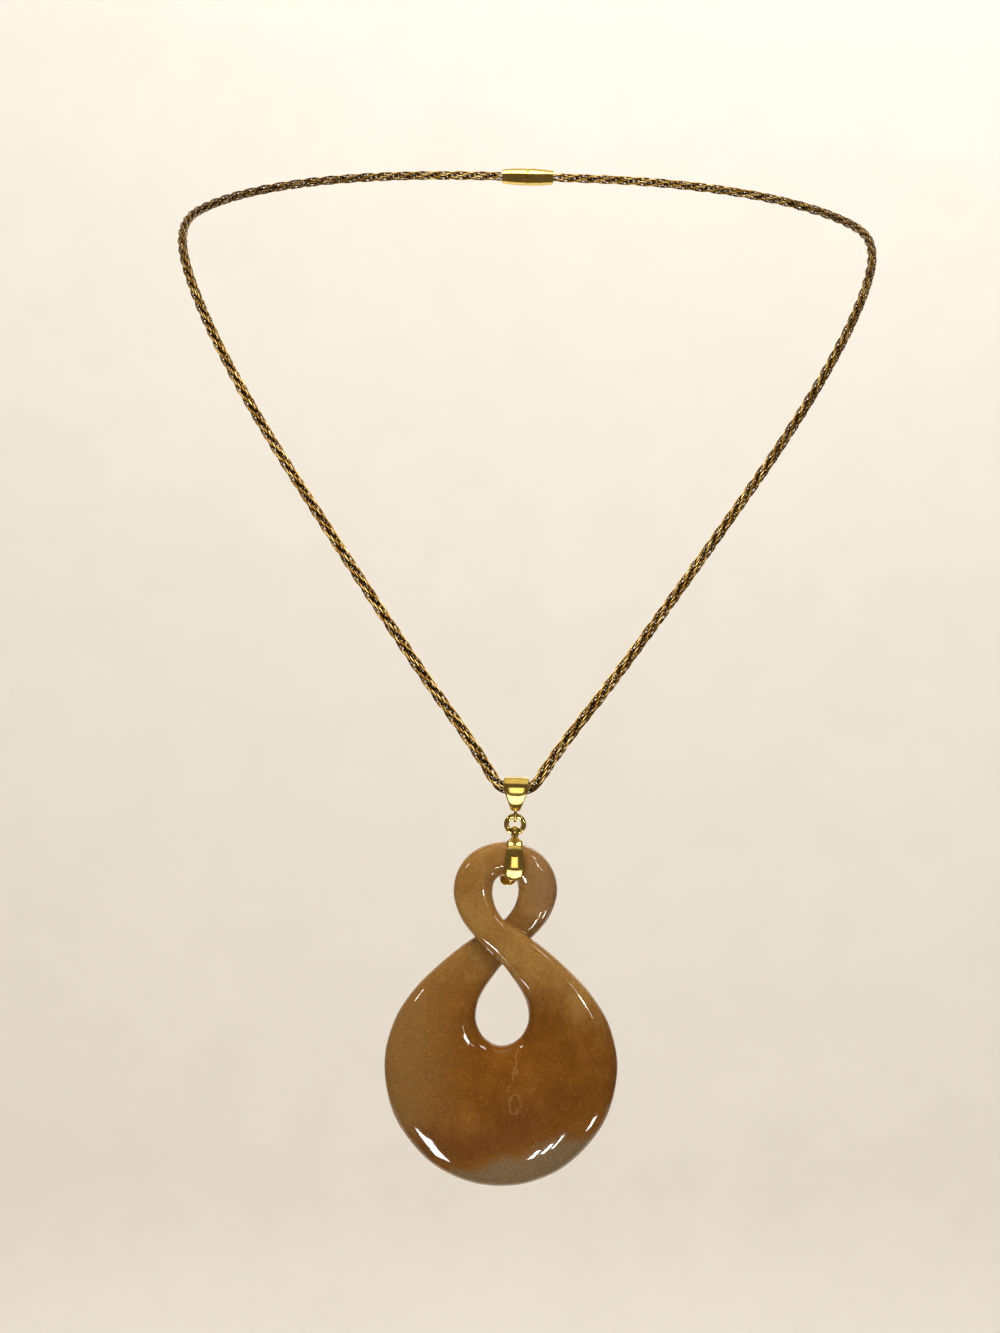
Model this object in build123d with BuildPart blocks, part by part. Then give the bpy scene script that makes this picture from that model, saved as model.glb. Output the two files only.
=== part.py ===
from build123d import *
import os
from collections import namedtuple
from math import radians, tan

# Aventurine pendant necklace: a fine rope chain closed by a barrel clasp at the nape, a folded
# taper bail on the chain, a jump ring, a pinch bail, and a one-piece figure-eight twist stone.
# Millimetres, +Z up. The origin is the middle of the clasp at the nape of the neck, the wearer
# faces -Y, and the bails hang plumb below the lowest stretch of the chain. The pinch bail grips
# the stone's small loop a little beside its middle, so the stone is off to the -X side.

# Rope chain
chain_diameter = 1.8

# Barrel clasp
clasp_length = 10.0
clasp_diameter = 3.4
clasp_end_diameter = 2.7
clasp_groove = 0.2

# Taper bail
bail_strip = 0.38
bail_chain_clearance = 0.78
bail_drop = 5.5
bail_top_width = 4.0
bail_tip_width = 1.4
bail_eye_width = 0.5

# Jump ring, and the eye and the curl that it joins
ring_wire = 0.8
ring_diameter = 3.4
ring_clearance = 0.36
eye_wall = 0.32

# Pinch bail
curl_width = 1.1
leaf_width = 3.1
leaf_shoulder_width = 2.5
leaf_strip = 0.4
leaf_lip = 0.5
leaf_tip_gap = 3.8
grip_clearance = 0.19
neck_gap = 0.2

# Stone
stone_height = 52.0
stone_width = 35.2
lobe_thickness = 6.6
loop_thickness = 4.5
strand_thickness = 3.7
strand_offset = 1.6
stone_beside = 1.2

# Route of the chain from the clasp to the bail on the +X side, as chosen points. The other side is
# its mirror image.
chain_route = [
    (clasp_length / 2, 0.0, 0.0),
    (17.0, 0.0, 0.0),
    (33.5, -3.5, -1.6),
    (48.0, -11.0, -5.0),
    (58.5, -24.0, -10.5),
    (63.0, -41.0, -17.5),
    (58.5, -58.5, -31.2),
    (46.5, -77.5, -52.5),
    (28.6, -96.0, -78.2),
    (14.5, -108.7, -97.9),
    (8.5, -113.5, -105.5),
    (4.8, -116.6, -110.7),
    (2.4, -119.0, -114.5),
]
largest_corner = 0.45

# Points that shape the two bails, as shares of the sizes that they follow. Out is away from the
# middle of the piece, and up is along the plumb axis: the belly of the taper bail's fold, the foot
# of the curl, the hollow side of a leaf below and above its middle, the widest place of a leaf's
# outline, and the cheek of its blunt tip.
Point = namedtuple("Point", "out up")
fold_belly = Point(0.80, -0.50)
curl_foot = Point(0.70, -0.60)
leaf_hollow = Point(0.98, -0.60)
leaf_crown = Point(0.75, 0.70)
leaf_widest = Point(1.00, -0.40)
leaf_cheek = Point(0.72, -0.86)

# Sections of the front strand of the figure-eight, from the middle of the big lobe's rim up to
# the middle of the small loop. Across is a share of stone_width from the stone's axis, and up is
# a share of stone_height from the lowest point. Edge a is outside on the lobe and inside on the
# loop, and edge b the other way round. Thick runs from 0, the lobe's thickness, over 1, a
# strand's, to 2, the loop's, and lift is a share of strand_offset towards the front.
Section = namedtuple("Section", "a_across a_up b_across b_up thick lift")
strand_sections = [
    Section(0.000, 0.000, 0.000, 0.408, 0.00, 0.00),
    Section(0.160, 0.018, 0.028, 0.411, 0.00, 0.00),
    Section(0.315, 0.078, 0.058, 0.421, 0.00, 0.00),
    Section(0.450, 0.195, 0.090, 0.443, 0.00, 0.05),
    Section(0.500, 0.340, 0.112, 0.482, 0.05, 0.20),
    Section(0.466, 0.465, 0.105, 0.530, 0.20, 0.42),
    Section(0.384, 0.560, 0.078, 0.570, 0.45, 0.65),
    Section(0.270, 0.640, 0.044, 0.604, 0.75, 0.88),
    Section(0.168, 0.698, 0.004, 0.640, 0.95, 1.00),
    Section(0.088, 0.734, -0.046, 0.678, 1.00, 1.00),
    Section(0.014, 0.764, -0.118, 0.719, 1.05, 0.95),
    Section(-0.033, 0.802, -0.188, 0.778, 1.25, 0.75),
    Section(-0.054, 0.845, -0.222, 0.848, 1.55, 0.50),
    Section(-0.050, 0.880, -0.203, 0.918, 1.80, 0.25),
    Section(-0.030, 0.896, -0.130, 0.974, 1.95, 0.08),
    Section(0.000, 0.900, 0.000, 1.000, 2.00, 0.00),
]
# A section is four arcs, and its two faces meet its two ends at these shares of the half width
# and the half thickness.
shoulder_across = 0.80
shoulder_deep = 0.62
sections_per_row = 3

# Places worked out from the sizes
chain_radius = chain_diameter / 2
bail_y = chain_route[-1][1]
bail_z = chain_route[-1][2]
bail_outer = chain_radius + bail_chain_clearance + bail_strip
bail_depth = bail_drop - bail_outer
loop_bore = ring_wire / 2 + ring_clearance
loop_radius = loop_bore + eye_wall
ring_radius = (ring_diameter - ring_wire) / 2
eye_z = bail_z - bail_depth - ring_wire / 2
ring_z = eye_z - ring_radius
curl_z = ring_z - ring_radius
stone_top_z = curl_z - loop_radius - neck_gap
stone_bottom_z = stone_top_z - stone_height
loop_top = strand_sections[-1]
loop_rim = stone_height * (loop_top.b_up - loop_top.a_up)
loop_middle_z = stone_top_z - loop_rim / 2
leaf_tip_z = stone_top_z - loop_rim - leaf_lip
leaf_belly = loop_thickness / 2 + grip_clearance
stone_axis = Axis((-stone_beside, bail_y, 0), (0, 0, 1))


def side_view(z):
    """The plane in which a piece is drawn from its side, front to the left, at a height."""
    return Plane(origin=(0, bail_y, z), x_dir=(0, 1, 0), z_dir=(1, 0, 0))


def front_view(z):
    """The plane in which a piece is drawn from the front, at a height."""
    return Plane(origin=(0, bail_y, z), x_dir=(1, 0, 0), z_dir=(0, -1, 0))


def corner_radii(points):
    """An arc for each inner point, as large as the two runs that meet there allow."""
    radii = []
    for before, corner, after in zip(points, points[1:], points[2:]):
        run_in = Vector(*corner) - Vector(*before)
        run_out = Vector(*after) - Vector(*corner)
        turn = radians(run_in.get_angle(run_out))
        radii.append(largest_corner * min(run_in.length, run_out.length) / tan(turn / 2))
    return radii


# Rope chain: a tube of its outer diameter, from one end of the clasp round the bail to the other
mirrored_route = [(-x, y, z) for x, y, z in chain_route]
route = mirrored_route + chain_route[::-1]
radii = corner_radii(route)
with BuildPart() as rope_chain:
    with BuildLine() as chain_path:
        FilletPolyline(*route, radius=radii)
    with BuildSketch(Plane(origin=route[0], z_dir=(-1, 0, 0))) as chain_section:
        Circle(chain_radius)
    sweep()
rope_chain.part.label = "rope_chain"
chain_length = sum(edge.length for edge in chain_path.line.edges())
print("chain radii", [round(r, 1) for r in radii])
print("chain length", round(chain_length, 1), "with clasp", round(chain_length + clasp_length, 1))
print("tube volume", round(rope_chain.part.volume, 2))
print("section times length", round(chain_section.sketch.area * chain_length, 2))

# Barrel clasp: one turned piece between the two ends of the chain
with BuildPart() as clasp:
    with BuildSketch(Plane.XZ):
        with BuildLine():
            Polyline((0, clasp_diameter / 2 - clasp_groove), (0, 0), (clasp_length / 2, 0))
            Line((clasp_length / 2, 0), (clasp_length / 2, clasp_end_diameter / 2))
            TangentArc(
                (clasp_groove, clasp_diameter / 2),
                (clasp_length / 2, clasp_end_diameter / 2),
                tangent=(1, 0),
            )
            Line((clasp_groove, clasp_diameter / 2), (0, clasp_diameter / 2 - clasp_groove))
        make_face()
    revolve(axis=Axis.X)
    mirror(about=Plane.YZ)
clasp.part.label = "clasp"

# Taper bail: a strip folded over the chain, its two leaves meeting above an eye for the ring
bail_tip_rise = bail_tip_width / 2 - bail_depth
belly_y = fold_belly.out * bail_outer
belly_z = fold_belly.up * bail_depth
with BuildPart() as taper_bail:
    with BuildSketch(side_view(bail_z)):
        with BuildLine():
            CenterArc((0, 0), bail_outer, 0, 180)
            ThreePointArc((bail_outer, 0), (belly_y, belly_z), (bail_strip, -bail_depth))
            Line((bail_strip, -bail_depth), (-bail_strip, -bail_depth))
            ThreePointArc((-bail_strip, -bail_depth), (-belly_y, belly_z), (-bail_outer, 0))
        make_face()
        offset(amount=-bail_strip, mode=Mode.SUBTRACT)
    extrude(amount=bail_top_width / 2, both=True)
    with BuildSketch(front_view(bail_z)):
        with BuildLine():
            Polyline(
                (bail_tip_width / 2, bail_tip_rise),
                (bail_top_width / 2, 0),
                (bail_top_width / 2, bail_outer),
                (0, bail_outer),
            )
            TangentArc((bail_tip_width / 2, bail_tip_rise), (0, -bail_depth), tangent=(0, -1))
            Line((0, -bail_depth), (0, bail_outer))
        make_face()
        mirror(about=Plane.YZ)
    extrude(amount=2 * bail_outer, both=True, mode=Mode.INTERSECT)
    with BuildSketch(side_view(eye_z)):
        Circle(loop_radius)
    extrude(amount=bail_eye_width / 2, both=True)
    with BuildSketch(side_view(eye_z)):
        Circle(loop_bore)
    extrude(amount=bail_top_width, both=True, mode=Mode.SUBTRACT)
taper_bail.part.label = "taper_bail"

# Jump ring: round wire facing the front, through the eye above and the curl below
with BuildPart() as jump_ring:
    with BuildSketch(Plane(origin=(ring_radius, bail_y, ring_z), x_dir=(1, 0, 0), z_dir=(0, 0, 1))):
        Circle(ring_wire / 2)
    revolve(axis=Axis((0, bail_y, ring_z), (0, 1, 0)))
jump_ring.part.label = "jump_ring"


def blended(before, start, end, after, share):
    """A value between start and end on a smooth curve through all four, at a share of the way."""
    slope = end - before
    bend = 2 * before - 5 * start + 4 * end - after
    twist = 3 * start - before - 3 * end + after
    return start + (slope * share + bend * share**2 + twist * share**3) / 2


def turned_half_round(row):
    """The section of the back strand that answers to one of the front strand."""
    return row._replace(a_across=-row.a_across, b_across=-row.b_across, lift=-row.lift)


def smooth_sections(rows):
    """The rows of the table with further ones between them, on smooth curves."""
    padded = [turned_half_round(rows[1]), *rows, turned_half_round(rows[-2])]
    smooth = []
    for four_rows in zip(padded, padded[1:], padded[2:], padded[3:]):
        for step in range(sections_per_row):
            share = step / sections_per_row
            smooth.append(Section(*(blended(*column, share) for column in zip(*four_rows))))
    return smooth + [rows[-1]]


def strand_edges(row):
    """The two edges of a section, as points above the stone's lowest one."""
    edge_a = Vector(row.a_across * stone_width, 0, row.a_up * stone_height)
    edge_b = Vector(row.b_across * stone_width, 0, row.b_up * stone_height)
    return edge_a, edge_b


def strand_plane(row):
    """The plane across the strand that holds one section."""
    edge_a, edge_b = strand_edges(row)
    foot = Vector(-stone_beside, bail_y - row.lift * strand_offset, stone_bottom_z)
    across = (edge_b - edge_a).normalized()
    normal = across.cross(Vector(0, 1, 0))
    return Plane(origin=(edge_a + edge_b) / 2 + foot, x_dir=across, z_dir=normal)


def strand_depth(row):
    """The thickness of a section, between the named ones of the lobe, the strand and the loop."""
    if row.thick < 1:
        return lobe_thickness + (strand_thickness - lobe_thickness) * row.thick
    return strand_thickness + (loop_thickness - strand_thickness) * (row.thick - 1)


# Stone: the front strand is lofted from the lobe's rim to the top of the small loop, and the back
# strand is the same one turned half round the stone's axis
with BuildPart() as front_strand:
    for row in smooth_sections(strand_sections):
        edge_a, edge_b = strand_edges(row)
        edge = (edge_b - edge_a).length / 2
        face = strand_depth(row) / 2
        corner_x = shoulder_across * edge
        corner_y = shoulder_deep * face
        with BuildSketch(strand_plane(row)):
            with BuildLine():
                ThreePointArc((-corner_x, corner_y), (0, face), (corner_x, corner_y))
                ThreePointArc((corner_x, corner_y), (edge, 0), (corner_x, -corner_y))
                ThreePointArc((corner_x, -corner_y), (0, -face), (-corner_x, -corner_y))
                ThreePointArc((-corner_x, -corner_y), (-edge, 0), (-corner_x, corner_y))
            make_face()
    loft(ruled=True)

with BuildPart() as stone:
    add(front_strand.part)
    add(front_strand.part.rotate(stone_axis, 180))
stone.part.label = "stone"

# Pinch bail: a curl on the jump ring, and two domed leaves that grip the top of the small loop
leaf_side = leaf_belly + leaf_strip
tip_inner = leaf_tip_gap / 2
tip_outer = tip_inner + leaf_strip
tip_depth = loop_middle_z - leaf_tip_z
crown_height = stone_top_z + grip_clearance - loop_middle_z
foot_radius = curl_foot.out * loop_radius
foot_height = curl_z + curl_foot.up * loop_radius - loop_middle_z
shoulder_height = stone_top_z - leaf_strip / 2 - loop_middle_z
curl_height = curl_z + loop_radius - loop_middle_z
widest = (leaf_widest.out * leaf_width / 2, leaf_widest.up * tip_depth)
cheek = (leaf_cheek.out * leaf_width / 2, leaf_cheek.up * tip_depth)
with BuildPart() as pinch_bail:
    with BuildSketch(side_view(loop_middle_z)):
        with BuildLine():
            ThreePointArc((foot_radius, foot_height), (leaf_side, 0), (tip_outer, -tip_depth))
            Line((tip_outer, -tip_depth), (tip_inner, -tip_depth))
            ThreePointArc(
                (tip_inner, -tip_depth),
                (leaf_hollow.out * leaf_belly, leaf_hollow.up * tip_depth),
                (leaf_belly, 0),
            )
            ThreePointArc(
                (leaf_belly, 0),
                (leaf_crown.out * leaf_belly, leaf_crown.up * crown_height),
                (0, crown_height),
            )
            Line((0, crown_height), (0, foot_height))
            Line((0, foot_height), (foot_radius, foot_height))
        make_face()
        mirror(about=Plane.YZ)
        with Locations((0, curl_z - loop_middle_z)):
            Circle(loop_radius)
            Circle(loop_bore, mode=Mode.SUBTRACT)
    extrude(amount=leaf_width / 2, both=True)
    with BuildSketch(front_view(loop_middle_z)):
        with BuildLine():
            Line((0, curl_height), (curl_width / 2, curl_height))
            Line((curl_width / 2, curl_height), (curl_width / 2, foot_height))
            Line((curl_width / 2, foot_height), (leaf_shoulder_width / 2, shoulder_height))
            Line((leaf_shoulder_width / 2, shoulder_height), widest)
            ThreePointArc(widest, cheek, (0, -tip_depth))
            Line((0, -tip_depth), (0, curl_height))
        make_face()
        mirror(about=Plane.YZ)
    extrude(amount=2 * leaf_side, both=True, mode=Mode.INTERSECT)
pinch_bail.part.label = "pinch_bail"

os.makedirs("parts", exist_ok=True)
for piece in (rope_chain, clasp, taper_bail, jump_ring, pinch_bail, stone):
    export_step(piece.part, f"parts/{piece.part.label}.step")
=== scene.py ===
# %% [markdown]
# # An aventurine pendant on a gold rope chain
# A figure-eight twist is cut from one piece of honey-coloured aventurine and polished. It hangs
# from a gold pinch bail, a jump ring and a folded taper bail on a fine rope chain. This lesson
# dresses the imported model: each piece is made in place, and gets the surface of the real one.
# Sizes are given in millimetres, as a jeweller measures them, and MM turns them into metres.

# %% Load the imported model
from math import atan2, cos, pi, radians, sin, sqrt

import bmesh
import bpy
import numpy as np
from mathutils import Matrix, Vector


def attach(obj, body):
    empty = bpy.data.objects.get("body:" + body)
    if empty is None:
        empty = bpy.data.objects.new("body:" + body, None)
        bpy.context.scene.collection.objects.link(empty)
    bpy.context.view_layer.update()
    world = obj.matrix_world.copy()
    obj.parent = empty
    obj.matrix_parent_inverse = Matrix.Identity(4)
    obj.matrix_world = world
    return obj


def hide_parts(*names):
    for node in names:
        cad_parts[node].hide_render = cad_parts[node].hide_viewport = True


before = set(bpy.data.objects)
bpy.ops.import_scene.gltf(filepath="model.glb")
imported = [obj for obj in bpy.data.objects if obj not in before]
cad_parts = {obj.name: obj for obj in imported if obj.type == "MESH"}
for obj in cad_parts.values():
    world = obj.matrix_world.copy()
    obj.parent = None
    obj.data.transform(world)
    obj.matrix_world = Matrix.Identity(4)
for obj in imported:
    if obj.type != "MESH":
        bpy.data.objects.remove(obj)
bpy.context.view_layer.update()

MM = 0.001

# %% [markdown]
# ## The camera
# The photograph is taken straight on, with the lens 40 cm in front of the pendant, and the chain
# runs away behind it. The picture leans by a degree and a half, so the camera is rolled about its
# own view. It comes first, because every later choice is judged through it. The long side of the
# sensor is the height of the picture, so the focal length in pixels is turned into millimetres by
# that side.

# %% Make the camera
PICTURE_HEIGHT = 1333
FOCAL_PIXELS = 2652.0
SENSOR = 36.0
CAMERA_ROLL = 1.5
CAMERA_AWAY = 400.0
CAMERA_X = -2.9
CAMERA_Z = -95.9
PENDANT_Y = -119.0
camera_data = bpy.data.cameras.new("camera")
camera_data.sensor_width = SENSOR
camera_data.lens = FOCAL_PIXELS / PICTURE_HEIGHT * SENSOR
camera_data.clip_start = 0.01
camera_data.clip_end = 20.0
camera = bpy.data.objects.new("camera", camera_data)
camera.location = (CAMERA_X * MM, (PENDANT_Y - CAMERA_AWAY) * MM, CAMERA_Z * MM)
camera.rotation_euler = (radians(90.0), radians(-CAMERA_ROLL), 0.0)
bpy.context.scene.collection.objects.link(camera)
bpy.context.scene.camera = camera
print("lens", round(camera_data.lens, 1), "mm, roll", CAMERA_ROLL, "degrees")


# %% [markdown]
# ## Colours and nodes
# Colours are picked as sRGB hex values, which the shader wants as linear light, so one function
# turns them. A second one adds a node with its settings and links, and every material and tree
# below is built with it, from top to bottom. A third starts a material with its shader.

# %% Define how a colour is turned, a node is added and a material is started
def linear(hex_colour):
    """An sRGB hex colour as the linear RGBA value that a shader wants."""
    parts = [int(hex_colour[i:i + 2], 16) / 255 for i in (1, 3, 5)]
    turned = [c / 12.92 if c <= 0.04045 else ((c + 0.055) / 1.055) ** 2.4 for c in parts]
    return (*turned, 1.0)


def add_node(tree, kind, settings=None, links=None):
    """Adds a node, sets its ramp's stops, its properties or unlinked inputs, and links it."""
    node = tree.nodes.new(kind)
    for name, value in (settings or {}).items():
        if name == "stops":
            elements = node.color_ramp.elements
            while len(elements) < len(value):
                elements.new(0.5)
            for element, (position, hex_colour) in zip(elements, value):
                element.position = position
                element.color = linear(hex_colour)
        elif hasattr(node, str(name)):
            setattr(node, name, value)
        else:
            node.inputs[name].default_value = value
    for name, source in (links or {}).items():
        tree.links.new(source, node.inputs[name])
    return node


def new_material(name):
    """An empty material with its tree, its shader and its object coordinates."""
    material = bpy.data.materials.new(name)
    material.use_nodes = True
    tree = material.node_tree
    tree.nodes.clear()
    shader = add_node(tree, "ShaderNodeBsdfPrincipled")
    add_node(tree, "ShaderNodeOutputMaterial", links={"Surface": shader.outputs[0]})
    place = add_node(tree, "ShaderNodeTexCoord").outputs["Object"]
    return material, tree, shader, place


print("helpers ready")

# %% [markdown]
# ## Gold, polished
# The bails, the ring and the clasp are gold-plated brass, polished after casting. To the eye that
# is a deep warm mirror: nearly all its look is the room in it, broken by hairline scratches and a
# faint film from handling. The metal keeps the default index of refraction. Real hairlines are
# about 0.01 mm wide, which no render shows, so these are drawn five times as coarse.

# %% Make the polished gold
FILM_PATCH = 1.2
SCRATCH_WIDTH = 0.05
gold_polished, tree, shader, place = new_material("gold_polished_plate")
shader.inputs["Metallic"].default_value = 1.0
film = add_node(
    tree, "ShaderNodeTexNoise", {"Scale": 1 / (FILM_PATCH * MM), "Detail": 4.0}, {"Vector": place}
).outputs["Fac"]
tone = add_node(
    tree, "ShaderNodeValToRGB", {"stops": [(0.30, "#E0C268"), (0.70, "#EED888")]}, {"Fac": film}
)
tree.links.new(tone.outputs["Color"], shader.inputs["Base Color"])
rough = add_node(
    tree, "ShaderNodeMapRange",
    {"From Min": 0.3, "From Max": 0.7, "To Min": 0.07, "To Max": 0.16}, {"Value": film},
)
tree.links.new(rough.outputs[0], shader.inputs["Roughness"])
hairs = add_node(
    tree, "ShaderNodeTexNoise",
    {"Scale": 1 / (SCRATCH_WIDTH * MM), "Detail": 3.0, "Distortion": 0.6}, {"Vector": place},
)
dents = add_node(
    tree, "ShaderNodeBump", {"Strength": 0.10, "Distance": 0.01 * MM},
    {"Height": hairs.outputs["Fac"]},
)
tree.links.new(dents.outputs[0], shader.inputs["Normal"])
print("made", gold_polished.name)

# %% [markdown]
# ## Gold, in links
# The chain's links are the same plate over drawn wire. Their colour follows an attribute that says
# how far out a point of a link stands: the rope's valleys are darker as painted shade and its
# outside lighter as a painted highlight, and the whole ramp is darker than the plate, as painted
# shade from a dim room. A second one gives each link its own tone, which makes the chain glitter
# as separate links and not as a painted rope. The links rub on each other, so they are a little
# duller than the bails.

# %% Make the gold of the links
RUBBED_PATCH = 0.5
TONE_WEIGHT = 0.30
gold_links, tree, shader, place = new_material("gold_plated_links")
shader.inputs["Metallic"].default_value = 1.0
link_tone = add_node(tree, "ShaderNodeAttribute", {"attribute_name": "link_tone"}).outputs["Fac"]
link_crest = add_node(tree, "ShaderNodeAttribute", {"attribute_name": "link_crest"}).outputs["Fac"]
tone_and_painted_shade = add_node(
    tree, "ShaderNodeMath", {"operation": "MULTIPLY_ADD", 1: TONE_WEIGHT},
    {0: link_tone, 2: link_crest},
)
# the depth and the tone set how much painted shade a point of a link gets
painted_valley_shade = add_node(
    tree, "ShaderNodeMapRange", {"From Min": 0.60, "From Max": 1.42},
    {"Value": tone_and_painted_shade.outputs[0]},
)
# the dark stops are painted shade in the valleys and from a dim room, the light top a painted
# highlight
tone = add_node(
    tree, "ShaderNodeValToRGB",
    {"stops": [(0.0, "#382400"), (0.45, "#68480A"), (0.70, "#A07828"), (1.0, "#EED48A")]},
    {"Fac": painted_valley_shade.outputs[0]},
)
tree.links.new(tone.outputs["Color"], shader.inputs["Base Color"])
rubbed = add_node(
    tree, "ShaderNodeTexNoise", {"Scale": 1 / (RUBBED_PATCH * MM), "Detail": 3.0}, {"Vector": place}
)
rough = add_node(
    tree, "ShaderNodeMapRange",
    {"From Min": 0.3, "From Max": 0.7, "To Min": 0.11, "To Max": 0.24},
    {"Value": rubbed.outputs["Fac"]},
)
tree.links.new(rough.outputs[0], shader.inputs["Roughness"])
print("made", gold_links.name)

# %% [markdown]
# ## The chain's route
# The route keeps the points of the model's own tube, for the half on the right, from the clasp to
# the bail. As control points of a smooth NURBS line they give the easy curve of a chain that hangs
# by its own weight. The order and the end rule are set once the points are in, because before that
# they leave the line in straight runs.

# %% Lay the chain's line
chain_route = [
    (5.0, 0.0, 0.0),
    (17.0, 0.0, 0.0),
    (33.5, -3.5, -1.6),
    (48.0, -11.0, -5.0),
    (58.5, -24.0, -10.5),
    (63.0, -41.0, -17.5),
    (58.5, -58.5, -31.2),
    (46.5, -77.5, -52.5),
    (28.6, -96.0, -78.2),
    (14.5, -108.7, -97.9),
    (8.5, -113.5, -105.5),
    (4.8, -116.6, -110.7),
    (2.4, -119.0, -114.5),
]
route_points = [(-x, y, z) for x, y, z in chain_route] + chain_route[::-1]
route_data = bpy.data.curves.new("chain_line", "CURVE")
route_data.dimensions = "3D"
route_data.resolution_u = 24
spline = route_data.splines.new("NURBS")
spline.points.add(len(route_points) - 1)
for point, place_mm in zip(spline.points, route_points):
    point.co = (*[c * MM for c in place_mm], 1.0)
spline.order_u = 3
spline.use_endpoint_u = True
chain_line = bpy.data.objects.new("chain_line", route_data)
bpy.context.scene.collection.objects.link(chain_line)
print("route of", len(route_points), "points")

# %% [markdown]
# ## The links
# A rope chain is made of small rings, each passed through several before it, that wind round the
# chain as they go. Here each ring is an oval that lies along the chain and is turned by 78 degrees
# about its line from the last one, so that every second ring lags a little and the rows wind round
# the chain as a rope's strands do. That is a rule along a path, so Geometry Nodes make it: points
# at even steps along the line, an oval at each, and a turn that grows with its number. The stretch,
# the wire and the step were found by a search, so that rings pass close and only just touch. The
# tree's inputs carry the sizes.

# %% Start the tree with its sizes
LINK_RADIUS = 0.78
LINK_STRETCH = 2.1
LINK_WIRE = 0.23
LINK_STEP = 0.50
LINK_TURN = 78.0
RING_SIDES = 16
WIRE_SIDES = 6
link_tree = bpy.data.node_groups.new("rings_along_a_line", "GeometryNodeTree")
link_tree.interface.new_socket("Geometry", in_out="OUTPUT", socket_type="NodeSocketGeometry")
link_tree.interface.new_socket("Line", in_out="INPUT", socket_type="NodeSocketGeometry")
link_sizes = {
    "Ring radius": LINK_RADIUS * MM,
    "Stretch": LINK_STRETCH,
    "Wire radius": LINK_WIRE / 2 * MM,
    "Step": LINK_STEP * MM,
    "Turn": radians(LINK_TURN),
}
for name, value in link_sizes.items():
    socket = link_tree.interface.new_socket(name, in_out="INPUT", socket_type="NodeSocketFloat")
    socket.default_value = value
material_socket = link_tree.interface.new_socket(
    "Metal", in_out="INPUT", socket_type="NodeSocketMaterial"
)
inputs = add_node(link_tree, "NodeGroupInput").outputs
print("inputs", list(link_sizes))

# %% [markdown]
# One ring comes next: a circle stretched along the chain, with the wire's small circle swept round
# it. Each of its points keeps how far it stands from the chain's middle, as a share of the ring's
# radius, which is the attribute that the gold reads to paint shade into the valleys and light on
# the outside.

# %% Add one ring to the tree
hoop = add_node(
    link_tree, "GeometryNodeCurvePrimitiveCircle", {"Resolution": RING_SIDES},
    {"Radius": inputs["Ring radius"]},
)
long_way = add_node(
    link_tree, "ShaderNodeCombineXYZ", {"X": 1.0, "Z": 1.0}, {"Y": inputs["Stretch"]}
)
oval = add_node(
    link_tree, "GeometryNodeTransform",
    links={"Geometry": hoop.outputs[0], "Scale": long_way.outputs[0]},
)
wire = add_node(
    link_tree, "GeometryNodeCurvePrimitiveCircle", {"Resolution": WIRE_SIDES},
    {"Radius": inputs["Wire radius"]},
)
oval_mesh = add_node(
    link_tree, "GeometryNodeCurveToMesh",
    links={"Curve": oval.outputs[0], "Profile Curve": wire.outputs[0]},
)
position = add_node(link_tree, "GeometryNodeInputPosition")
spot = add_node(link_tree, "ShaderNodeSeparateXYZ", links={0: position.outputs[0]})
sideways = add_node(link_tree, "ShaderNodeMath", {"operation": "ABSOLUTE"}, {0: spot.outputs["X"]})
crest = add_node(
    link_tree, "ShaderNodeMath", {"operation": "DIVIDE"},
    {0: sideways.outputs[0], 1: inputs["Ring radius"]},
)
# the share that the gold reads for its painted shade and painted highlight
ring_mesh = add_node(
    link_tree, "GeometryNodeStoreNamedAttribute",
    {"data_type": "FLOAT", "domain": "POINT", "Name": "link_crest"},
    {"Geometry": oval_mesh.outputs[0], "Value": crest.outputs[0]},
)
upright = add_node(
    link_tree, "GeometryNodeTransform", {"Rotation": (pi / 2, 0.0, 0.0)},
    {"Geometry": ring_mesh.outputs[0]},
)
print("one ring of", RING_SIDES, "by", WIRE_SIDES, "sides")

# %% [markdown]
# The line's length divided by the step gives the number of rings, rounded so that they end where
# the line does. Each ring takes the line's direction.

# %% Hang the rings along the line
length = add_node(link_tree, "GeometryNodeCurveLength", links={"Curve": inputs["Line"]})
steps = add_node(
    link_tree, "ShaderNodeMath", {"operation": "DIVIDE"},
    {0: length.outputs["Length"], 1: inputs["Step"]},
)
whole = add_node(link_tree, "ShaderNodeMath", {"operation": "ROUND"}, {0: steps.outputs[0]})
stations = add_node(
    link_tree, "GeometryNodeCurveToPoints", {"mode": "COUNT"},
    {"Curve": inputs["Line"], "Count": whole.outputs[0]},
)
hung = add_node(
    link_tree, "GeometryNodeInstanceOnPoints",
    links={
        "Points": stations.outputs["Points"],
        "Instance": upright.outputs[0],
        "Rotation": stations.outputs["Rotation"],
    },
)
print("tree so far", len(link_tree.nodes), "nodes")

# %% [markdown]
# A ring's number times the turn goes into a rotation about its own line, and a random value with a
# fixed seed becomes its tone. The rings are then made real, because an export drops instances.

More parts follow.
